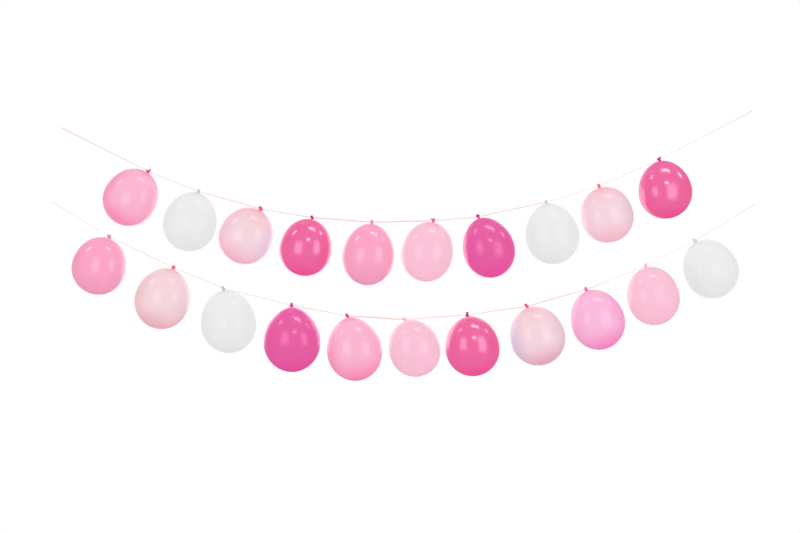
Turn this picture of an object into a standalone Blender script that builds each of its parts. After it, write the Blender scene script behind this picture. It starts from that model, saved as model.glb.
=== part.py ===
"""Balloon garland: two swagged ribbons, one below the other, each threaded through the knots of small
latex balloons. The origin is the upper ribbon's left end, +X runs along the garland, +Z is up and the
front faces -Y. Metres throughout, with the garland's own measures given in millimetres."""

from collections import namedtuple
from math import atan2, cos, pi, radians, sin

import bmesh
import bpy
from mathutils import Matrix, Vector

MM = 0.001

RIBBON_WIDTH = 3.0 * MM
BORE_CLEARANCE = 0.7 * MM  # between the ribbon and the knot it is threaded through
BORE_LENGTH = 16.0 * MM
BORE_SIDES = 8
SAMPLES_PER_SPAN = 3  # points read from the smooth route between two knots

BODY_SIDES = 16
KNOT_SIDES = 8
WIDEST_AT = 0.545  # the body is widest this far down, as a share of its own length
DOME_ANGLES = (78, 66, 44, 22)  # degrees above the widest ring, from the shoulder down
BOWL_ANGLES = (0, 23, 46, 68)  # degrees below the widest ring
NECK_RADIUS = 3.6 * MM
NECK_OVERLAP = 0.4 * MM  # the neck starts this far inside the dome of the body

# The knot from its rolled lip down to its underside: radius, and height above the ribbon.
KNOT_PROFILE = (
    (4.4 * MM, 6.6 * MM),
    (4.6 * MM, 4.8 * MM),
    (2.7 * MM, 3.8 * MM),
    (4.5 * MM, 2.6 * MM),
    (4.5 * MM, -2.6 * MM),
)

# Latex and ribbon colours, as display values from 0 to 255, with each finish's roughness.
FINISHES = {
    "pink": ((250, 172, 206), 0.22),
    "rose": ((254, 158, 196), 0.22),
    "light_pink": ((250, 192, 212), 0.22),
    "candy_pink": ((250, 176, 220), 0.22),
    "pearl_pink": ((244, 210, 220), 0.28),
    "hot_pink": ((238, 92, 156), 0.18),
    "magenta": ((228, 84, 160), 0.18),
    "white": ((236, 236, 236), 0.25),
    "ribbon": ((248, 196, 192), 0.40),
}

Balloon = namedtuple("Balloon", "x z swing width length neck taper latex")

# Each strand: its left end, its balloons from left to right, and its right end. A balloon has the place of
# its knot on the ribbon (x, z), the degrees by which its body swings to the left, its width, its length
# and the length of its neck, both below the ribbon, how far its shoulders taper, and its latex. A taper
# of 0 is a plain oval, and less than that has fuller shoulders.
STRANDS = {
    "upper": (
        (0, 0),
        (
            Balloon(193, -96, 34, 117, 134, 4, -0.03, "pink"),
            Balloon(303, -140, 15, 117, 135, 4, 0.01, "white"),
            Balloon(440, -179, 28.5, 118, 131, 4, -0.03, "pearl_pink"),
            Balloon(553, -198, 12, 115, 131, 4, 0.00, "hot_pink"),
            Balloon(685, -208, 6.5, 114, 140, 4, 0.04, "rose"),
            Balloon(820, -205, 11, 114, 136, 4, -0.04, "light_pink"),
            Balloon(919, -196, -17.5, 114, 139, 4, 0.09, "magenta"),
            Balloon(1068, -164, -10.5, 118, 138, 4, 0.09, "white"),
            Balloon(1184, -129, -15.5, 115, 127, 4, -0.06, "pearl_pink"),
            Balloon(1317, -70, -10.5, 117, 132, 4, 0.06, "hot_pink"),
        ),
        (1521, 36),
    ),
    "lower": (
        (-18, -164),
        (
            Balloon(107, -240, 19, 118, 132, 4, -0.03, "rose"),
            Balloon(248, -308, 19, 121, 140, 4, 0.02, "pearl_pink"),
            Balloon(358, -353, -8, 121, 144, 5.8, 0.04, "white"),
            Balloon(508, -391, -0.5, 125, 147, 4, 0.13, "magenta"),
            Balloon(631, -414, -11, 121, 145, 4, 0.13, "pink"),
            Balloon(757, -422, -18, 112, 130, 4, -0.05, "light_pink"),
            Balloon(895, -412, -8.5, 119, 136, 4, 0.01, "hot_pink"),
            Balloon(1025, -393, -19.5, 120, 135, 4, -0.04, "pearl_pink"),
            Balloon(1156, -356, -20, 118, 138, 4, 0.03, "candy_pink"),
            Balloon(1287, -304, -13.5, 114, 133, 4, 0.00, "light_pink"),
            Balloon(1395, -249, -29, 118, 137, 4, 0.02, "white"),
        ),
        (1531, -166),
    ),
}


def linear(display_value):
    """A display value from 0 to 255 as the linear value that a shader takes."""
    value = display_value / 255
    return value / 12.92 if value <= 0.04045 else ((value + 0.055) / 1.055) ** 2.4


def make_finish(name, colour, roughness):
    material = bpy.data.materials.new(name)
    material.use_nodes = True
    shader = material.node_tree.nodes["Principled BSDF"]
    shader.inputs["Base Color"].default_value = (*(linear(value) for value in colour), 1.0)
    shader.inputs["Roughness"].default_value = roughness
    shader.inputs["Metallic"].default_value = 0.0
    return material


def on_the_wall(x, z):
    """A place in the garland's own plane, from its measures in millimetres."""
    return Vector((x * MM, 0.0, z * MM))


def ribbon_route(start, balloons, end):
    """The ends, the knots and the middles of the spans: the weight at each knot keeps the spans straight."""
    knots = [on_the_wall(balloon.x, balloon.z) for balloon in balloons]
    fixed = [on_the_wall(*start), *knots, on_the_wall(*end)]
    route = [fixed[0]]
    for near, far in zip(fixed, fixed[1:]):
        route += [(near + far) / 2, far]
    return route


def smooth_point(route, place):
    """A point of the smooth curve through the route; place counts the route's points from 0."""
    first = min(int(place), len(route) - 2)
    part = place - first
    before = route[max(first - 1, 0)]
    here, there = route[first], route[first + 1]
    after = route[min(first + 2, len(route) - 1)]
    return 0.5 * (
        2 * here
        + (there - before) * part
        + (2 * before - 5 * here + 4 * there - after) * part**2
        + (3 * here - before - 3 * there + after) * part**3
    )


def make_ribbon(name, route, finish):
    """The ribbon's path as a tube of the ribbon's width."""
    spans = (len(route) - 1) // 2
    count = SAMPLES_PER_SPAN * spans + 1
    points = [smooth_point(route, 2 * index / SAMPLES_PER_SPAN) for index in range(count)]
    curve = bpy.data.curves.new(name, "CURVE")
    curve.dimensions = "3D"
    curve.bevel_depth = RIBBON_WIDTH / 2
    curve.bevel_resolution = 2
    curve.use_fill_caps = True
    line = curve.splines.new("POLY")
    line.points.add(count - 1)
    for point, place in zip(line.points, points):
        point.co = (*place, 1.0)
    curve.materials.append(finish)
    bpy.context.collection.objects.link(bpy.data.objects.new(name, curve))


def body_profile(balloon):
    """Radius and height of each of the body's rings, from the shoulder down to just above the bottom."""
    radius, neck = balloon.width * MM / 2, balloon.neck * MM
    length = balloon.length * MM - neck
    dome = WIDEST_AT * length
    bowl = length - dome
    rings = []
    for angle in DOME_ANGLES:
        rise, reach = sin(radians(angle)), cos(radians(angle))
        rings.append((radius * reach * (1 - balloon.taper * rise**2), -neck - dome * (1 - rise)))
    for angle in BOWL_ANGLES:
        rings.append((radius * cos(radians(angle)), -neck - dome - bowl * sin(radians(angle))))
    return rings


def add_ring(bm, sides, radius, frame, capped=False):
    """A ring about the frame's Z. Returns its rim, and its middle point where it is capped."""
    made = bmesh.ops.create_circle(
        bm, segments=sides, radius=radius, matrix=frame, cap_ends=capped, cap_tris=capped
    )
    middle = [corner for corner in made["verts"] if (corner.co - frame.translation).length < radius / 2]
    edges = {edge for corner in made["verts"] for edge in corner.link_edges}
    rim = [edge for edge in edges if not any(corner in middle for corner in edge.verts)]
    return rim, middle


def balloon_mesh(name, balloon, ribbon_slope):
    """Body, neck, knot and rolled lip in one piece, with the ribbon's place at the origin and the body's
    axis on Z. The knot sits square on the ribbon, whatever way the body swings."""
    bm = bmesh.new()
    square = Matrix.Rotation(-ribbon_slope - radians(balloon.swing), 4, "Y")
    rims = []
    for radius, height in KNOT_PROFILE:
        frame = square @ Matrix.Translation((0, 0, height))
        rims.append(add_ring(bm, KNOT_SIDES, radius, frame, capped=not rims)[0])
    neck_base = Matrix.Translation((0, 0, -balloon.neck * MM - NECK_OVERLAP))
    rims.append(add_ring(bm, KNOT_SIDES, NECK_RADIUS, neck_base)[0])
    *rings, last = body_profile(balloon)
    for radius, height in rings:
        rims.append(add_ring(bm, BODY_SIDES, radius, Matrix.Translation((0, 0, height)))[0])
    radius, height = last
    rim, bottom = add_ring(bm, BODY_SIDES, radius, Matrix.Translation((0, 0, height)), capped=True)
    rims.append(rim)
    bottom[0].co.z = -balloon.length * MM
    for upper, lower in zip(rims, rims[1:]):
        bmesh.ops.bridge_loops(bm, edges=upper + lower)
    bmesh.ops.recalc_face_normals(bm, faces=bm.faces)
    mesh = bpy.data.meshes.new(name)
    bm.to_mesh(mesh)
    bm.free()
    mesh.shade_smooth()
    return mesh


def slope_at(route, index):
    """The ribbon's slope at one of the route's points, in radians, upwards to the right."""
    along = route[index + 1] - route[index - 1]
    return atan2(along.z, along.x)


def make_bores(name, route):
    """The cutter that opens each knot for the ribbon: one prism along the ribbon at each knot."""
    bm = bmesh.new()
    radius = (RIBBON_WIDTH / 2 + BORE_CLEARANCE) / cos(pi / BORE_SIDES)
    for index in range(2, len(route) - 1, 2):
        lie_down = Matrix.Rotation(pi / 2 - slope_at(route, index), 4, "Y")
        bmesh.ops.create_cone(
            bm,
            cap_ends=True,
            segments=BORE_SIDES,
            radius1=radius,
            radius2=radius,
            depth=BORE_LENGTH,
            matrix=Matrix.Translation(route[index]) @ lie_down @ Matrix.Rotation(pi / BORE_SIDES, 4, "Z"),
        )
    mesh = bpy.data.meshes.new(name)
    bm.to_mesh(mesh)
    bm.free()
    cutter = bpy.data.objects.new(name, mesh)
    cutter.hide_render = True
    cutter.display_type = "WIRE"
    bpy.context.collection.objects.link(cutter)
    return cutter


def make_balloon(name, balloon, ribbon_slope, bores, finish):
    mesh = balloon_mesh(name, balloon, ribbon_slope)
    mesh.materials.append(finish)
    body = bpy.data.objects.new(name, mesh)
    body.location = on_the_wall(balloon.x, balloon.z)
    body.rotation_euler.y = radians(balloon.swing)
    cut = body.modifiers.new("ribbon bore", "BOOLEAN")
    cut.object = bores
    bpy.context.collection.objects.link(body)


def make_strand(strand, finishes):
    start, balloons, end = STRANDS[strand]
    route = ribbon_route(start, balloons, end)
    make_ribbon(f"{strand}_ribbon", route, finishes["ribbon"])
    bores = make_bores(f"{strand}_bores", route)
    for number, balloon in enumerate(balloons, start=1):
        name = f"{strand}_balloon_{number:02d}_{balloon.latex}"
        make_balloon(name, balloon, slope_at(route, 2 * number), bores, finishes[balloon.latex])


def main():
    for existing in list(bpy.data.objects):
        bpy.data.objects.remove(existing)
    finishes = {name: make_finish(name, *values) for name, values in FINISHES.items()}
    for strand in STRANDS:
        make_strand(strand, finishes)


main()
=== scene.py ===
"""Looks of the balloon garland: two swagged ribbons, one below the other, each with small latex balloons
tied on by their knots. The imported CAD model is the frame: the swing, size and shape of a balloon's body are
measured on its node, and the ribbons' routes repeat the CAD's. The origin is the upper ribbon's left end,
+X runs along the garland, +Z is up and the front faces -Y. Metres throughout, but knots are given in
millimetres."""

from collections import namedtuple
from math import atan2, cos, exp, pi, radians, sin, tau

import bmesh
import bpy
from mathutils import Matrix, Vector


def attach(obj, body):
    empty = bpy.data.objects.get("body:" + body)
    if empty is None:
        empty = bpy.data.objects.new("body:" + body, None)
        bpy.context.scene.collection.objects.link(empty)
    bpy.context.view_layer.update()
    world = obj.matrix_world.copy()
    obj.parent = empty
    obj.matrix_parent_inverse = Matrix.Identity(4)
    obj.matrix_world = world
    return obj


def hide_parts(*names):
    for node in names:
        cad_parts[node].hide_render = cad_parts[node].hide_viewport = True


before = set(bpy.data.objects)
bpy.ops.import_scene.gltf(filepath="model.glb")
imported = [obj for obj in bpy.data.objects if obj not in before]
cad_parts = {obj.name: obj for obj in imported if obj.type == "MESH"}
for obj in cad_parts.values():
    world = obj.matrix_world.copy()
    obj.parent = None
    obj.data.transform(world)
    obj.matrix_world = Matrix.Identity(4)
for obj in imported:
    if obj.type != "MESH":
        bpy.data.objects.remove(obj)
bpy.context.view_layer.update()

MM = 0.001

# The ribbons' routes, as (x, z): the left end, each balloon's knot and the right end.
ROUTES = {
    "upper": (
        (0.0, 0.0),
        (0.193, -0.096),
        (0.303, -0.140),
        (0.440, -0.179),
        (0.553, -0.198),
        (0.685, -0.208),
        (0.820, -0.205),
        (0.919, -0.196),
        (1.068, -0.164),
        (1.184, -0.129),
        (1.317, -0.070),
        (1.521, 0.036),
    ),
    "lower": (
        (-0.018, -0.164),
        (0.107, -0.240),
        (0.248, -0.308),
        (0.358, -0.353),
        (0.508, -0.391),
        (0.631, -0.414),
        (0.757, -0.422),
        (0.895, -0.412),
        (1.025, -0.393),
        (1.156, -0.356),
        (1.287, -0.304),
        (1.395, -0.249),
        (1.531, -0.166),
    ),
}

# How far the ribbon is turned away from facing the front, in degrees, after the left end of each span,
# in its middle and before its right end. At 90 its edge faces the front.
RIBBON_TURNS = {
    "upper": (
        (50, 62, 72),
        (76, 73, 68),
        (70, 58, 54),
        (67, 68, 34),
        (22, 28, 60),
        (26, 34, 28),
        (66, 63, 63),
        (56, 62, 62),
        (84, 86, 82),
        (83, 81, 81),
        (85, 78, 58),
    ),
    "lower": (
        (66, 78, 81),
        (72, 68, 76),
        (68, 68, 62),
        (73, 76, 58),
        (48, 62, 76),
        (20, 18, 30),
        (66, 53, 62),
        (68, 55, 58),
        (52, 54, 62),
        (62, 83, 88),
        (89, 89, 88),
        (76, 79, 64),
    ),
}

RIBBON_WIDTH = 3.0 * MM
RIBBON_THICKNESS = 0.25 * MM
RIBBON_RISE = 0.35 * MM  # how far the ribbon's middle bows out of its flat
RIBBON_ACROSS = (-1, -0.5, 0, 0.5, 1)  # the corners of a face of the ribbon, from edge to edge
RIBBON_STEP = 2.5 * MM
TURN_EASE = 0.25  # how much of the turn still ahead of it the ribbon makes at each step
GATHERED_WIDTH = 1.5 * MM  # the ribbon's width where it is tied in at a knot
GATHER_REACH = 7.0 * MM
CREASE = 50  # degrees between faces from which an edge is drawn sharp

BODY_SIDES = 72
BODY_RINGS = 46
WIDEST_AT = 0.545  # a balloon's body is widest this far down, as a share of its own length
TAPER_LOW, TAPER_HIGH = 0.6, 0.95  # the part of the dome's height on which its taper is measured
DOME_TOP = 85  # degrees up the dome at which the neck begins

# How far the latex is stretched, up to 1 on the body: where the dome meets the neck, at the two ends of the
# neck, and how much less at the body's bottom. In the rest of the knot it isn't stretched.
DOME_STRETCH = 0.5
NECK_STRETCH, TIED_STRETCH = 0.3, 0.1
BOTTOM_SLACK = 0.15

# Where the latex changes, as angles in radians on the body: from the top of the dome, where it becomes fully
# stretched and where the puckers round the neck fade out, and from the bottom, where its slack ends.
STRETCHED_FROM, STRETCHED_TO = 0.08, 0.7
PUCKERED_FROM, PUCKERED_TO = 0.09, 0.3
SLACK_TO = 0.25
PUCKERS = 9
PUCKER_DEPTH = 0.15 * MM

KNOT_STEPS = 5
NECK_WAIST = 0.9  # how wide the neck is where it leaves the dome, as a share of the bead
BEAD_ROUNDING = 0.8  # the power of the cosine that rounds the bead's upper side: less is fuller
ROLL_REACH = 1.4  # how far the lip holds the pinch off, in radii of its roll
PINCH = 0.6  # the pinch above the bead, as a share of the smaller one of the bead and the lip
PINCH_LOWEST, PINCH_HIGHEST = 0.45, 0.72  # its place, as a share of the way from the bead to the lip
LIP_STEPS = 12
LIP_FROM, LIP_TO = -100, 180  # degrees round the lip's roll, from its underside over its top into the mouth
MOUTH_LEAST = 0.25 * MM
MOUTH_RINGS = ((0.6, 0.9), (0.25, 1.4))  # down the mouth: share of its width, and depth in radii of the roll
ROUND_LIP = 3.0 * MM  # a lip wider than this is pressed flat
FLATTENING = 0.25

# A tied knot: the place of the bead where the latex is tied and the bead's radius, the place of the
# rolled lip above it and the lip's half width, the slope of the lip (upwards to the right, in degrees),
# how far the lip's two ends rise above its middle, the radius of its roll, and the display colour, 0 to 255,
# of the latex there. Places are (x, z) from the ribbon, upright on the wall.
Knot = namedtuple("Knot", "bead_x bead_z bead lip_x lip_z lip slope saddle roll colour")

# Each strand's knots from left to right.
KNOTS = {
    "upper": (
        Knot(-0.8, -1.1, 4.3, 0.0, 1.4, 5.8, 6, 1.0, 2.0, (231, 71, 142)),
        Knot(-0.1, -1.4, 3.5, 0.3, 1.8, 3.2, 12, 0.0, 1.9, (198, 198, 198)),
        Knot(0.3, -1.0, 4.7, -1.3, 3.5, 4.6, -4, 0.0, 2.0, (247, 84, 123)),
        Knot(0.8, -2.1, 3.6, -1.2, 2.0, 3.4, 12, 0.0, 2.7, (216, 16, 120)),
        Knot(-0.9, -1.0, 3.8, -0.4, 3.0, 3.5, -10, 0.0, 1.8, (232, 147, 184)),
        Knot(-0.2, -1.9, 3.3, -1.0, 3.2, 5.4, 0, 0.0, 1.6, (231, 88, 139)),
        Knot(0.6, -3.5, 3.1, -1.6, 1.6, 4.3, 14, 0.0, 3.5, (220, 40, 139)),
        Knot(-0.2, -1.1, 3.2, -0.4, 2.2, 3.0, 0, 0.0, 2.0, (205, 205, 205)),
        Knot(0.8, -1.2, 3.6, -1.1, 2.8, 3.3, 8, 0.0, 2.6, (252, 87, 124)),
        Knot(0.6, -2.9, 3.5, -0.9, 1.9, 5.3, 38, 0.0, 2.1, (224, 24, 122)),
    ),
    "lower": (
        Knot(-0.5, -1.7, 4.6, -0.8, 2.3, 4.6, 0, 0.3, 2.1, (228, 143, 178)),
        Knot(-0.2, -1.0, 4.2, 0.2, 2.1, 4.6, 4, 0.0, 2.0, (241, 102, 131)),
        Knot(0.0, -1.9, 4.1, -2.4, 1.7, 3.6, 45, 0.0, 2.3, (200, 200, 200)),
        Knot(-0.4, -1.6, 4.2, -0.2, 2.6, 3.5, 8, 0.0, 2.6, (218, 47, 138)),
        Knot(0.0, -1.0, 3.7, -2.4, 2.3, 3.3, 36, 0.0, 2.5, (228, 57, 136)),
        Knot(0.0, -1.1, 3.5, -1.8, 2.2, 4.3, -20, 0.0, 1.7, (243, 182, 203)),
        Knot(-0.9, -1.4, 4.1, -0.9, 3.9, 3.2, 0, 0.0, 2.6, (210, 19, 110)),
        Knot(1.4, -1.2, 3.9, -2.0, 3.0, 3.6, 28, 0.0, 2.6, (246, 76, 120)),
        Knot(-0.3, -1.3, 3.7, -1.3, 2.7, 3.2, 14, 0.0, 2.4, (231, 97, 172)),
        Knot(-0.3, -1.5, 3.8, -0.4, 2.5, 3.1, 0, 0.0, 2.5, (251, 182, 208)),
        Knot(1.3, -1.8, 4.8, 0.0, 1.7, 5.5, -14, 0.0, 2.2, (212, 213, 213)),
    ),
}

# A latex finish: display colours from 0 to 255 of the body, of its lower end, which is painted shade, and of
# its left and right flanks, which are painted shade and, on pearl latex, also a painted pearly sheen; how
# rough and how glossy it is; how far down the painted shade of the lower end starts, as a share of the body;
# the weight of its sheen; how strongly the colour of the knot runs into the shoulder; and which of the
# studio's panels it reflects.
Latex = namedtuple(
    "Latex",
    "body lower left right roughness gloss lower_from sheen stain panels",
    defaults=(0.6, 1.0, 0.0, "pale"),
)

# The lower and flank colours are painted shade; pearl_pink's flanks are also a painted pearly sheen.
FINISHES = {
    "pink": Latex((252, 181, 209), (255, 132, 183), (250, 149, 188), (252, 169, 199), 0.22, 0.47),
    "rose": Latex((255, 164, 198), (245, 155, 190), (244, 155, 188), (250, 159, 194), 0.18, 0.6),
    "light_pink": Latex((253, 193, 215), (255, 191, 215), (249, 190, 209), (247, 192, 208), 0.21, 0.4),
    "candy_pink": Latex((252, 185, 219), (252, 124, 195), (249, 170, 211), (249, 160, 206), 0.22, 0.43),
    "pearl_pink": Latex((245, 213, 222), (245, 175, 193), (242, 197, 209), (238, 207, 223), 0.22, 0.34),
    "hot_pink": Latex(
        (243, 101, 161), (249, 65, 150), (242, 88, 156), (242, 84, 149),
        roughness=0.18, gloss=0.95, lower_from=0.72, panels="deep",
    ),
    "magenta": Latex(
        (233, 91, 163), (238, 68, 159), (230, 80, 157), (230, 83, 157),
        roughness=0.2, gloss=0.45, lower_from=0.72, panels="deep",
    ),
    "white": Latex(
        (235, 235, 235), (231, 231, 231), (228, 228, 228), (229, 229, 229),
        roughness=0.3, gloss=0.16, sheen=0.0, panels="white",
    ),
}

# On each pearl balloon the flanks carry their own painted pearly sheen and painted shade, the lower end its
# own painted shade, and its knot's colour runs into it.
PEARLS = {
    ("upper", 3): dict(left=(244, 193, 211), right=(233, 199, 223), lower=(249, 177, 198), stain=0.22),
    ("upper", 9): dict(left=(244, 204, 218), right=(232, 194, 214), lower=(251, 180, 203), stain=0.2),
    ("lower", 2): dict(left=(237, 194, 192), right=(237, 203, 208), lower=(240, 170, 186), stain=0.08),
    ("lower", 8): dict(left=(223, 191, 215), right=(232, 197, 211), lower=(233, 158, 181), stain=0.12),
}

BODY_SLOT, KNOT_SLOT = 0, 1  # a balloon's two materials
KNOT_ROUGHNESS, KNOT_GLOSS = 0.4, 0.08

# Where the body's colour changes: to the painted shade of its sides (and, on pearl latex, their painted
# pearly sheen), from this share of its radius; down to the painted shade of its lower end, and down from the
# knot's colour, as shares of its length; and from the knot's to its own as the latex is stretched.
FLANK_SHADE_FROM = 0.35
LOWER_SHADE_TO = 1.05
STAIN_REACH = 0.4
OPENED_FROM, OPENED_TO = 0.2, 0.95

RIBBON_COLOUR = (255, 210, 206)

# The studio. The camera looks along +Y at the middle of the garland.
VIEW_CENTRE = Vector((0.7463, 0.0, -0.3058))
VIEW_WIDTH = 1.76
LENS = 100.0
SENSOR = 36.0

FLOOR_LEVEL = -1.3
FLOOR_SIZE = (6.0, 6.0)

# How bright the even white surroundings are: to the camera, as they light the latex from the front and from
# behind, and in its gloss in front and behind. Below, the gloss shows only a share of that.
SEEN = 1.0
LIGHTING, LIGHTING_BEHIND = 1.04, 1.18
MIRRORED, MIRRORED_BEHIND = 0.2, 0.3
SHARE_BELOW = 0.5

# Glowing panels that show only in the gloss of the latex: which latex reflects it, name, place, facing,
# size, brightness and the share of soft edge. Deep, pale and white latex have backdrops of their own,
# because one bright enough for the deep would wear away the rims of the others. No two that overlap share a
# plane, where a ray would meet only one of them.
FRONT, BACK, DOWN, UP = (0, -1, 0), (0, 1, 0), (0, 0, -1), (0, 0, 1)
REFLECTORS = (
    ("deep", "backdrop", (0.5, 0.46, -0.16), FRONT, (2.0, 1.0), 0.45, 0.2),
    ("deep", "backdrop_lit", (0.61, 0.45, -0.29), FRONT, (1.12, 0.5), 0.9, 0.08),
    ("deep", "backdrop_left", (0.35, 0.44, -0.29), FRONT, (0.6, 0.42), 0.7, 0.1),
    ("pale", "pale_backdrop", (0.5, 0.49, -0.16), FRONT, (2.0, 1.0), 0.45, 0.2),
    ("pale", "pale_backdrop_lit", (0.61, 0.48, -0.29), FRONT, (1.12, 0.5), 0.6, 0.08),
    ("pale", "pale_backdrop_left", (0.35, 0.47, -0.29), FRONT, (0.6, 0.42), 0.3, 0.1),
    ("white", "white_backdrop", (0.75, 0.5, -0.2), FRONT, (3.0, 1.6), 0.6, 0.15),
    ("all", "right_window", (1.6, -0.78, -0.17), (-0.6, 0.8, 0.0), (1.0, 1.4), 2.7, 0.38),
    ("all", "left_window", (0.03, -1.0, -0.15), (0.6, 0.8, 0.0), (1.0, 1.3), 2.7, 0.38),
    ("all", "ceiling_middle", (1.4, -0.4, 1.9), DOWN, (1.2, 0.38), 7.8, 0.1),
    ("all", "ceiling_left", (-2.2, -0.3, 2.7), DOWN, (1.4, 0.5), 8.0, 0.1),
    ("all", "ceiling_right", (4.5, 0.5, 2.7), DOWN, (1.4, 0.5), 8.0, 0.1),
    ("all", "rear", (0.37, 0.38, 0.89), DOWN, (0.4, 0.06), 3.0, 0.1),
    ("deep", "front_lamp", (1.37, -3.14, 1.76), BACK, (1.1, 0.5), 13.0, 0.2),
)

# The far or small ones, which few reflected rays find by chance, so they are sampled as lights too.
SAMPLED = ("ceiling_middle", "ceiling_left", "ceiling_right", "rear", "front_lamp")


def linear(colour):
    """A display colour, 0 to 255, as the linear colour that a shader takes."""
    shares = [value / 255 for value in colour]
    return tuple(s / 12.92 if s <= 0.04045 else ((s + 0.055) / 1.055) ** 2.4 for s in shares)


def smoothstep(low, high, value):
    """How far the value is on its way from low to high, from 0 to 1, eased at both ends."""
    share = min(max((value - low) / (high - low), 0.0), 1.0)
    return share * share * (3 - 2 * share)


def join_rings(bm, rings):
    """Quads between each ring of corners and the next."""
    for near, far in zip(rings, rings[1:]):
        for side in range(len(near)):
            after = (side + 1) % len(near)
            bm.faces.new((near[side], near[after], far[after], far[side]))


def smooth_mesh(bm, name):
    """The finished mesh, with its faces turned outwards and shaded smooth."""
    bmesh.ops.recalc_face_normals(bm, faces=bm.faces)
    mesh = bpy.data.meshes.new(name)
    bm.to_mesh(mesh)
    bm.free()
    mesh.shade_smooth()
    return mesh


# ---------------------------------------------------------------- camera


def add_camera():
    """A long lens, level, straight in front."""
    data = bpy.data.cameras.new("camera")
    data.lens = LENS
    data.sensor_width = SENSOR
    camera = bpy.data.objects.new("camera", data)
    distance = VIEW_WIDTH * LENS / SENSOR
    camera.location = VIEW_CENTRE + Vector((0, -distance, 0))
    camera.rotation_euler = (pi / 2, 0, 0)
    bpy.context.collection.objects.link(camera)
    bpy.context.scene.camera = camera


# ---------------------------------------------------------------- ribbons


def ribbon_route(strand):
    """The ends, the knots and the middles of the spans: the weight at each knot keeps the spans straight."""
    fixed = [Vector((x, 0, z)) for x, z in ROUTES[strand]]
    route = [fixed[0]]
    for near, far in zip(fixed, fixed[1:]):
        route += [(near + far) / 2, far]
    return route


def smooth_point(route, place):
    """A point of the smooth curve through the route; place counts the route's points from 0."""
    first = min(int(place), len(route) - 2)
    part = place - first
    before = route[max(first - 1, 0)]
    here, there = route[first], route[first + 1]
    after = route[min(first + 2, len(route) - 1)]
    return 0.5 * (
        2 * here
        + (there - before) * part
        + (2 * before - 5 * here + 4 * there - after) * part**2
        + (3 * here - before - 3 * there + after) * part**3
    )


def ribbon_stations(route):
    """Even steps along the ribbon, as the number of the span and the part of it, from 0 to 1."""
    fixed = route[::2]
    stations = []
    for span, (near, far) in enumerate(zip(fixed, fixed[1:])):
        steps = max(round((far - near).length / RIBBON_STEP), 1)
        stations += [(span, step / steps) for step in range(steps)]
    return stations + [(len(fixed) - 2, 1.0)]


def ribbon_turn(turns, span, part):
    """How far the ribbon is turned at this part, from 0 to 1, of a span, in radians."""
    after, middle, before = turns[span]
    if part < 0.5:
        return radians(after + (middle - after) * smoothstep(0.0, 0.5, part))
    return radians(middle + (before - middle) * smoothstep(0.5, 1.0, part))


def ribbon_section(point, along, turned, gather):
    """The corners of one section of the ribbon, round its two bowed faces. Gather is 1 in a knot."""
    across = Matrix.Rotation(turned, 3, along) @ Vector((0, 1, 0)).cross(along).normalized()
    outwards = across.cross(along).normalized()
    half = (RIBBON_WIDTH + (GATHERED_WIDTH - RIBBON_WIDTH) * gather) / 2
    thick = RIBBON_THICKNESS * (1 + gather) / 2
    corners = []
    for side in (1, -1):
        for share in RIBBON_ACROSS:
            bow = RIBBON_RISE * (1 - share * share) * (1 - gather)
            corners.append(point + across * half * share * side + outwards * (bow + thick * side))
    return corners


def ribbon_mesh(name, path, stations, turns, knots):
    """The ribbon as one closed skin along the path."""
    bm = bmesh.new()
    rings = []
    turned = ribbon_turn(turns, *stations[0])
    for index, (point, station) in enumerate(zip(path, stations)):
        ahead, behind = path[min(index + 1, len(path) - 1)], path[max(index - 1, 0)]
        turned += (ribbon_turn(turns, *station) - turned) * TURN_EASE
        reach = min((point - knot).length for knot in knots)
        gather = exp(-((reach / GATHER_REACH) ** 2))
        corners = ribbon_section(point, (ahead - behind).normalized(), turned, gather)
        rings.append([bm.verts.new(corner) for corner in corners])
    join_rings(bm, rings)
    bm.faces.new(rings[0])
    bm.faces.new(reversed(rings[-1]))
    mesh = smooth_mesh(bm, name)
    mesh.set_sharp_from_angle(angle=radians(CREASE))
    return mesh


def add_ribbon(strand, finish):
    """A flat ribbon that twists from span to span and gathers where it is tied in at a knot."""
    name = f"{strand}_ribbon_flat"
    route = ribbon_route(strand)
    stations = ribbon_stations(route)
    path = [smooth_point(route, 2 * (span + part)) for span, part in stations]
    mesh = ribbon_mesh(name, path, stations, RIBBON_TURNS[strand], knots=route[2:-1:2])
    mesh.materials.append(finish)
    ribbon = bpy.data.objects.new(name, mesh)
    bpy.context.collection.objects.link(ribbon)
    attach(ribbon, "root")
    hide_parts(f"{strand}_ribbon")


# ---------------------------------------------------------------- balloons

# A body's swing to the left, in radians, its widest radius, its length and its neck's length, both below
# the ribbon, and how far its shoulders taper.
Body = namedtuple("Body", "swing radius length neck taper")

# A ring of the balloon's skin: its middle, its tilt, its half width and depth, how far the latex is
# stretched there, how far down the body it is, as a share, how strong its puckers are and how far its sides
# rise.
Ring = namedtuple("Ring", "middle tilt half depth stretch drop puckers saddle", defaults=(0.0,) * 4)


def up_the_body(body):
    """The direction from the body's bottom to the ribbon, for a balloon whose knot is at the origin."""
    return Vector((sin(body.swing), 0, cos(body.swing)))


def measure_body(node, knot):
    """The swing, size and shape of a balloon's body, read from its CAD node."""
    points = [corner.co - knot for corner in node.data.vertices]
    bottom = max(points, key=lambda point: point.length)
    up = -bottom.normalized()
    rings = [(-point.dot(up), (point - up * point.dot(up)).length) for point in points]
    widest, radius = max(rings, key=lambda ring: ring[1])
    neck = (widest - WIDEST_AT * bottom.length) / (1 - WIDEST_AT)
    dome = WIDEST_AT * (bottom.length - neck)
    tapers = []
    for depth, reach in rings:
        rise = 1 - (depth - neck) / dome
        if TAPER_LOW < rise < TAPER_HIGH:
            tapers.append((1 - reach / (radius * (1 - rise**2) ** 0.5)) / rise**2)
    return Body(atan2(-bottom.x, -bottom.z), radius, bottom.length, neck, sum(tapers) / len(tapers))


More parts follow.
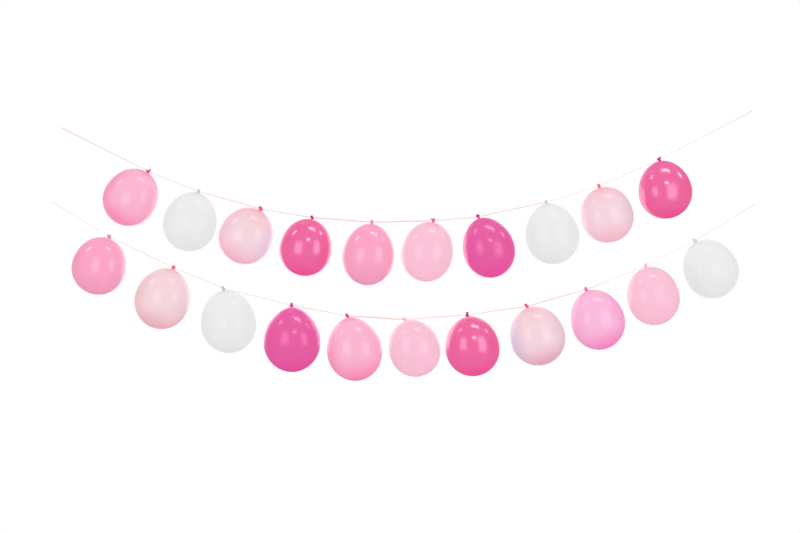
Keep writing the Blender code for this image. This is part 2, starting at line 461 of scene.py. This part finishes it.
def body_rings(body):
    """The rings of the body from its bottom up to where the dome meets the neck."""
    dome = WIDEST_AT * (body.length - body.neck)
    bowl = body.length - body.neck - dome
    rings = []
    for step in range(1, BODY_RINGS + 1):
        angle = radians(-90 + (90 + DOME_TOP) * step / BODY_RINGS)
        from_top, from_bottom = pi / 2 - angle, pi / 2 + angle
        rise = sin(angle)
        reach = body.radius * cos(angle)
        depth = body.neck + dome - (dome if rise > 0 else bowl) * rise
        if rise > 0:
            reach *= 1 - body.taper * rise**2
        stretch = DOME_STRETCH + (1 - DOME_STRETCH) * smoothstep(STRETCHED_FROM, STRETCHED_TO, from_top)
        stretch -= BOTTOM_SLACK * (1 - smoothstep(0.0, SLACK_TO, from_bottom))
        puckers = 1 - smoothstep(PUCKERED_FROM, PUCKERED_TO, from_top)
        middle = -depth * up_the_body(body)
        rings.append(Ring(middle, -body.swing, reach, reach, stretch, depth / body.length, puckers))
    return rings


def knot_rings(body, knot):
    """The rings of the tied knot: the neck up to the bead, and over the bead to the pinch above it."""
    neck_at = -body.neck * up_the_body(body)
    bead_at = Vector((knot.bead_x, 0, knot.bead_z)) * MM
    lip_at = Vector((knot.lip_x, 0, knot.lip_z)) * MM
    bead = knot.bead * MM
    pinch = PINCH * MM * min(knot.bead, knot.lip)
    pinch_share = knot.bead / (knot.bead + ROLL_REACH * knot.roll)
    pinch_at = bead_at.lerp(lip_at, min(max(pinch_share, PINCH_LOWEST), PINCH_HIGHEST))
    tail_tilt = atan2(bead_at.x - lip_at.x, lip_at.z - bead_at.z)
    bead_tilt = (tail_tilt - body.swing) / 2
    rings = []
    for step in range(KNOT_STEPS):
        share = step / KNOT_STEPS
        half = bead * (NECK_WAIST + (1 - NECK_WAIST) * sin(share * pi / 2))
        tilt = -body.swing + (bead_tilt + body.swing) * share
        stretch = NECK_STRETCH + (TIED_STRETCH - NECK_STRETCH) * share
        rings.append(Ring(neck_at.lerp(bead_at, share), tilt, half, half, stretch))
    for step in range(KNOT_STEPS + 1):
        share = step / KNOT_STEPS
        half = pinch + (bead - pinch) * cos(share * pi / 2) ** BEAD_ROUNDING
        tilt = bead_tilt + (tail_tilt - bead_tilt) * share
        rings.append(Ring(bead_at.lerp(pinch_at, share), tilt, half, half))
    return rings


def lip_rings(knot):
    """The rings of the rolled lip: from its underside over the roll, and down into its mouth."""
    lip, roll, slope = knot.lip * MM, knot.roll * MM, radians(knot.slope)
    middle = Vector((knot.lip_x, 0, knot.lip_z)) * MM
    up = Vector((-sin(slope), 0, cos(slope)))
    core = max(lip - roll, 0.0)
    core_depth = max(lip_depth(lip) - roll, 0.0)
    rings = []
    for step in range(LIP_STEPS + 1):
        angle = radians(LIP_FROM + (LIP_TO - LIP_FROM) * step / LIP_STEPS)
        half = max(core + roll * cos(angle), MOUTH_LEAST)
        depth = max(core_depth + roll * cos(angle), MOUTH_LEAST)
        rings.append(Ring(middle + up * roll * sin(angle), slope, half, depth, saddle=knot.saddle * MM))
    last = rings[-1]
    for share, sink in MOUTH_RINGS:
        rings.append(Ring(middle - up * roll * sink, slope, last.half * share, last.depth * share))
    return rings


def lip_depth(half):
    """How deep, from front to back, a lip of this half width is: a wide one is pressed flat."""
    return min(half, ROUND_LIP + FLATTENING * (half - ROUND_LIP))


def add_ring(bm, ring, seed):
    """The corners of one ring, with its puckers near the neck and its saddle at the lip. The seed turns two
    sets of folds against each other."""
    across, up = Vector((cos(ring.tilt), 0, sin(ring.tilt))), Vector((-sin(ring.tilt), 0, cos(ring.tilt)))
    corners = []
    for side in range(BODY_SIDES):
        angle = tau * side / BODY_SIDES
        folds = sin(PUCKERS * angle + seed) + 0.5 * sin((PUCKERS + 4) * angle + 2 * seed)
        swell = PUCKER_DEPTH * ring.puckers * folds
        point = ring.middle + across * (ring.half + swell) * cos(angle)
        point += Vector((0, 1, 0)) * (ring.depth + swell) * sin(angle)
        point += up * ring.saddle * (2 * cos(angle) ** 2 - 1)
        corners.append(bm.verts.new(point))
    return corners


def cap_ring(bm, ring, middle):
    """Triangles from a ring of corners to a corner in its middle."""
    for side, corner in enumerate(ring):
        bm.faces.new((middle, corner, ring[(side + 1) % len(ring)]))


def balloon_mesh(name, body, knot, seed):
    """Body, neck, knot and lip as one closed skin about the knot. Its corners are those of the rings from
    the bottom up, then the bottom, then the end of the mouth."""
    bm = bmesh.new()
    rings = body_rings(body) + knot_rings(body, knot) + lip_rings(knot)
    corners = [add_ring(bm, ring, seed) for ring in rings]
    bottom = bm.verts.new(-body.length * up_the_body(body))
    mouth = bm.verts.new(rings[-1].middle)
    join_rings(bm, corners)
    cap_ring(bm, corners[0], bottom)
    cap_ring(bm, corners[-1], mouth)
    bm.verts.index_update()
    first_of_knot = BODY_RINGS * BODY_SIDES
    for face in bm.faces:
        tied = all(corner.index >= first_of_knot for corner in face.verts)
        face.material_index = KNOT_SLOT if tied else BODY_SLOT
    mesh = smooth_mesh(bm, name)
    keep_places(mesh, body, rings)
    return mesh


def keep_places(mesh, body, rings):
    """Keeps two things at each corner for the material: how far the latex is stretched, and the place on
    the body, as shares of its radius to the right and to the back and of its length down from the ribbon."""
    stretch = [ring.stretch for ring in rings for side in range(BODY_SIDES)] + [1 - BOTTOM_SLACK, 0.0]
    drop = [ring.drop for ring in rings for side in range(BODY_SIDES)] + [1.0, 0.0]
    right = Vector((cos(body.swing), 0, -sin(body.swing)))
    stretches = mesh.attributes.new("stretch", "FLOAT", "POINT").data
    places = mesh.attributes.new("body_place", "FLOAT_VECTOR", "POINT").data
    for corner in mesh.vertices:
        flank, back = corner.co.dot(right) / body.radius, corner.co.y / body.radius
        stretches[corner.index].value = stretch[corner.index]
        places[corner.index].vector = (flank, back, drop[corner.index])


def add_balloon(strand, number, node, knot_place, knot, viewers):
    """A balloon that hangs by its knot. It is left out of the other balloons' reflections and of the light
    between them, which would blotch their flanks."""
    finish = node.name.split("_", 3)[3]
    latex = FINISHES[finish]._replace(**PEARLS.get((strand, number), {}))
    name = f"{strand}_latex_{number:02d}"
    mesh = balloon_mesh(name, measure_body(node, knot_place), knot, seed=float(number))
    mesh.materials.append(latex_material(name, latex, knot.colour, latex.roughness, latex.gloss))
    mesh.materials.append(latex_material(f"{name}_tied", latex, knot.colour, KNOT_ROUGHNESS, KNOT_GLOSS))
    balloon = bpy.data.objects.new(name, mesh)
    balloon.location = knot_place
    balloon.visible_diffuse = False
    balloon.visible_glossy = False
    bpy.context.collection.objects.link(balloon)
    viewers[latex.panels].objects.link(balloon)
    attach(balloon, "root")
    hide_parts(node.name)


def add_balloons(strand, viewers):
    """A strand's balloons from left to right, each with its CAD node, place on the ribbon and knot."""
    names = sorted(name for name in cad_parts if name.startswith(f"{strand}_balloon"))
    places = [Vector((x, 0, z)) for x, z in ROUTES[strand][1:-1]]
    for number, (name, place, knot) in enumerate(zip(names, places, KNOTS[strand]), start=1):
        add_balloon(strand, number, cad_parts[name], place, knot, viewers)


# ---------------------------------------------------------------- materials


def new_material(name):
    """A material with its nodes, its links and its shader."""
    material = bpy.data.materials.new(name)
    material.use_nodes = True
    nodes, links = material.node_tree.nodes, material.node_tree.links
    return material, nodes, links, nodes["Principled BSDF"]


def feed(links, value, socket):
    """Gives a socket another socket's value, a colour or a number."""
    if isinstance(value, bpy.types.NodeSocket):
        links.new(value, socket)
    elif isinstance(value, tuple):
        socket.default_value = (*value, 1.0)
    else:
        socket.default_value = value


def add_mix(nodes, links, factor, first, second, blend="MIX"):
    """A colour mix. Factor and colours are sockets or plain values."""
    mix = nodes.new("ShaderNodeMix")
    mix.data_type = "RGBA"
    mix.blend_type = blend
    feed(links, factor, mix.inputs[0])
    feed(links, first, mix.inputs[6])
    feed(links, second, mix.inputs[7])
    return mix.outputs[2]


def add_blend(nodes, links, factor, first, second):
    """The first value where the factor is 0, and the second one where it is 1."""
    blend = nodes.new("ShaderNodeMix")
    blend.data_type = "FLOAT"
    feed(links, factor, blend.inputs[0])
    feed(links, first, blend.inputs[2])
    feed(links, second, blend.inputs[3])
    return blend.outputs[0]


def add_product(nodes, links, first, second):
    """The product of two values."""
    product = nodes.new("ShaderNodeMath")
    product.operation = "MULTIPLY"
    feed(links, first, product.inputs[0])
    feed(links, second, product.inputs[1])
    return product.outputs[0]


def add_range(nodes, links, value, low, high, start=0.0, end=1.0):
    """A value's way from low to high, smoothed, as start to end."""
    ranged = nodes.new("ShaderNodeMapRange")
    ranged.interpolation_type = "SMOOTHSTEP"
    feed(links, value, ranged.inputs["Value"])
    for socket, number in (("From Min", low), ("From Max", high), ("To Min", start), ("To Max", end)):
        ranged.inputs[socket].default_value = number
    return ranged.outputs["Result"]


def add_noise(nodes, links, scale, detail=2.0):
    """Noise that is fixed to the piece."""
    where = nodes.new("ShaderNodeTexCoord")
    noise = nodes.new("ShaderNodeTexNoise")
    noise.inputs["Scale"].default_value = scale
    noise.inputs["Detail"].default_value = detail
    links.new(where.outputs["Object"], noise.inputs["Vector"])
    return noise.outputs["Fac"]


def add_bump(nodes, links, shader, height, strength):
    """A bump up to 0.05 mm deep."""
    bump = nodes.new("ShaderNodeBump")
    bump.inputs["Strength"].default_value = strength
    bump.inputs["Distance"].default_value = 0.05 * MM
    links.new(height, bump.inputs["Height"])
    links.new(bump.outputs["Normal"], shader.inputs["Normal"])


def latex_colour(nodes, links, latex, knot_colour):
    """The body's colour, with painted shade towards its flanks and its lower end, a painted pearly sheen on
    the flanks of pearl latex, and the stained shoulder. Where the latex is stretched less, at the dome's top
    and the neck, it nears the colour of the knot."""
    stretch = nodes.new("ShaderNodeAttribute")
    stretch.attribute_name = "stretch"
    place = nodes.new("ShaderNodeAttribute")
    place.attribute_name = "body_place"
    split = nodes.new("ShaderNodeSeparateXYZ")
    links.new(place.outputs["Vector"], split.inputs[0])
    flank, drop = split.outputs[0], split.outputs[2]
    # Painted shade towards the flanks and the lower end; on pearl latex the flanks also carry a painted
    # pearly sheen.
    left_shade_and_sheen = add_range(nodes, links, flank, -FLANK_SHADE_FROM, -1.0)
    right_shade_and_sheen = add_range(nodes, links, flank, FLANK_SHADE_FROM, 1.0)
    lower_shade = add_range(nodes, links, drop, latex.lower_from, LOWER_SHADE_TO)
    stained = add_range(nodes, links, drop, 0.0, STAIN_REACH, latex.stain, 0.0)
    opened = add_range(nodes, links, stretch.outputs["Fac"], OPENED_FROM, OPENED_TO)
    colour = add_mix(nodes, links, left_shade_and_sheen, linear(latex.body), linear(latex.left))
    colour = add_mix(nodes, links, right_shade_and_sheen, colour, linear(latex.right))
    colour = add_mix(nodes, links, lower_shade, colour, linear(latex.lower))
    colour = add_mix(nodes, links, stained, colour, linear(knot_colour))
    return add_mix(nodes, links, opened, linear(knot_colour), colour)


def latex_material(name, latex, knot_colour, roughness, gloss):
    """Thin stretched latex: a faint mottle, a fine skin and a soft sheen in the colour of its flank."""
    material, nodes, links, shader = new_material(name)
    colour = latex_colour(nodes, links, latex, knot_colour)
    clouds = add_noise(nodes, links, scale=45.0, detail=3.0)
    mottle = add_range(nodes, links, clouds, 0.3, 0.7, start=0.985)
    links.new(add_mix(nodes, links, 1.0, colour, mottle, "MULTIPLY"), shader.inputs["Base Color"])
    add_bump(nodes, links, shader, add_noise(nodes, links, scale=900.0), strength=0.03)
    shader.inputs["Roughness"].default_value = roughness
    shader.inputs["IOR"].default_value = 1.5
    shader.inputs["Specular IOR Level"].default_value = gloss
    shader.inputs["Sheen Weight"].default_value = latex.sheen
    shader.inputs["Sheen Roughness"].default_value = 0.35
    shader.inputs["Sheen Tint"].default_value = (*linear(latex.left), 1.0)
    return material


def ribbon_material():
    """Satin ribbon with a fine grain, and painted shade that makes it slightly deeper in colour in the
    grain's hollows.
    """
    material, nodes, links, shader = new_material("ribbon")
    grain = add_noise(nodes, links, scale=1500.0)
    # Painted shade: the colour darkens where the grain's bump is low.
    shade = add_range(nodes, links, grain, 0.35, 0.65, start=0.93)
    colour = add_mix(nodes, links, 1.0, linear(RIBBON_COLOUR), shade, "MULTIPLY")
    links.new(colour, shader.inputs["Base Color"])
    add_bump(nodes, links, shader, grain, strength=0.2)
    shader.inputs["Roughness"].default_value = 0.4
    shader.inputs["Specular IOR Level"].default_value = 0.2
    shader.inputs["Sheen Weight"].default_value = 0.2
    return material


def reflector_material(name, radiance, soft, sampled):
    """A see-through glow that fades towards the edges of a square from -0.5 to 0.5."""
    material, nodes, links, shader = new_material(name)
    nodes.remove(shader)
    material.cycles.emission_sampling = "FRONT" if sampled else "NONE"
    where = nodes.new("ShaderNodeTexCoord")
    split = nodes.new("ShaderNodeSeparateXYZ")
    links.new(where.outputs["Object"], split.inputs[0])
    strength = radiance
    for axis in (0, 1):
        for edge in (-0.5, 0.5):
            fade = add_range(nodes, links, split.outputs[axis], edge, edge * (1 - 2 * soft))
            strength = add_product(nodes, links, fade, strength)
    glow = nodes.new("ShaderNodeEmission")
    links.new(strength, glow.inputs["Strength"])
    clear = nodes.new("ShaderNodeBsdfTransparent")
    both = nodes.new("ShaderNodeAddShader")
    links.new(glow.outputs[0], both.inputs[0])
    links.new(clear.outputs[0], both.inputs[1])
    links.new(both.outputs[0], nodes["Material Output"].inputs["Surface"])
    return material


def floor_material():
    """Plain, pale and matt."""
    material, _, _, shader = new_material("floor")
    shader.inputs["Base Color"].default_value = (0.92, 0.92, 0.92, 1)
    shader.inputs["Roughness"].default_value = 0.8
    return material


# ---------------------------------------------------------------- studio


def add_square(name, material, place, facing, size):
    """A flat panel of the studio, of that size in metres. Its own coordinates run from -0.5 to 0.5."""
    mesh = bpy.data.meshes.new(name)
    mesh.from_pydata([(-0.5, -0.5, 0), (0.5, -0.5, 0), (0.5, 0.5, 0), (-0.5, 0.5, 0)], [], [(0, 1, 2, 3)])
    mesh.materials.append(material)
    panel = bpy.data.objects.new(name, mesh)
    panel.location = place
    panel.rotation_euler = Vector(facing).to_track_quat("Z", "Y").to_euler()
    panel.scale = (*size, 1)
    bpy.context.collection.objects.link(panel)
    return panel


def add_reflector(viewers, name, place, facing, size, radiance, soft):
    """A glowing panel that shows only in the gloss of these balloons, or of all if viewers is None."""
    material = reflector_material(name, radiance, soft, name in SAMPLED)
    panel = add_square(name, material, place, facing, size)
    panel.visible_camera = False
    panel.visible_diffuse = False
    panel.visible_transmission = False
    panel.visible_shadow = False
    panel.light_linking.receiver_collection = viewers


def add_surroundings():
    """An even white world. It lights the garland a little more from behind, as a bright backdrop does, and
    it is dimmer in the latex's gloss than to the eye."""
    world = bpy.data.worlds.new("studio")
    world.use_nodes = True
    world.cycles.sampling_method = "NONE"
    nodes, links = world.node_tree.nodes, world.node_tree.links
    nodes["Background"].inputs["Color"].default_value = (1, 1, 1, 1)
    where = nodes.new("ShaderNodeTexCoord")
    split = nodes.new("ShaderNodeSeparateXYZ")
    links.new(where.outputs["Generated"], split.inputs[0])
    backward, upward = split.outputs["Y"], split.outputs["Z"]
    rays = nodes.new("ShaderNodeLightPath")
    level = add_range(nodes, links, backward, -0.3, 0.6, LIGHTING, LIGHTING_BEHIND)
    level = add_blend(nodes, links, rays.outputs["Is Camera Ray"], level, SEEN)
    mirrored = add_range(nodes, links, backward, 0.0, 0.8, MIRRORED, MIRRORED_BEHIND)
    below = add_range(nodes, links, upward, -0.1, -0.6, 1.0, SHARE_BELOW)
    mirrored = add_product(nodes, links, mirrored, below)
    level = add_blend(nodes, links, rays.outputs["Is Glossy Ray"], level, mirrored)
    links.new(level, nodes["Background"].inputs["Strength"])
    bpy.context.scene.world = world


def add_studio(viewers):
    """Even white surroundings that light the latex, panels that its gloss reflects, and a pale floor."""
    add_surroundings()
    for seen_by, *panel in REFLECTORS:
        add_reflector(viewers.get(seen_by), *panel)
    floor = add_square("floor", floor_material(), (0, 0, FLOOR_LEVEL), UP, FLOOR_SIZE)
    floor.visible_glossy = False


def main():
    bpy.context.scene.view_settings.view_transform = "Standard"
    add_camera()
    ribbon = ribbon_material()
    for strand in ROUTES:
        add_ribbon(strand, ribbon)
    viewers = {panels: bpy.data.collections.new(panels) for panels in ("deep", "pale", "white")}
    for strand in ROUTES:
        add_balloons(strand, viewers)
    add_studio(viewers)


main()
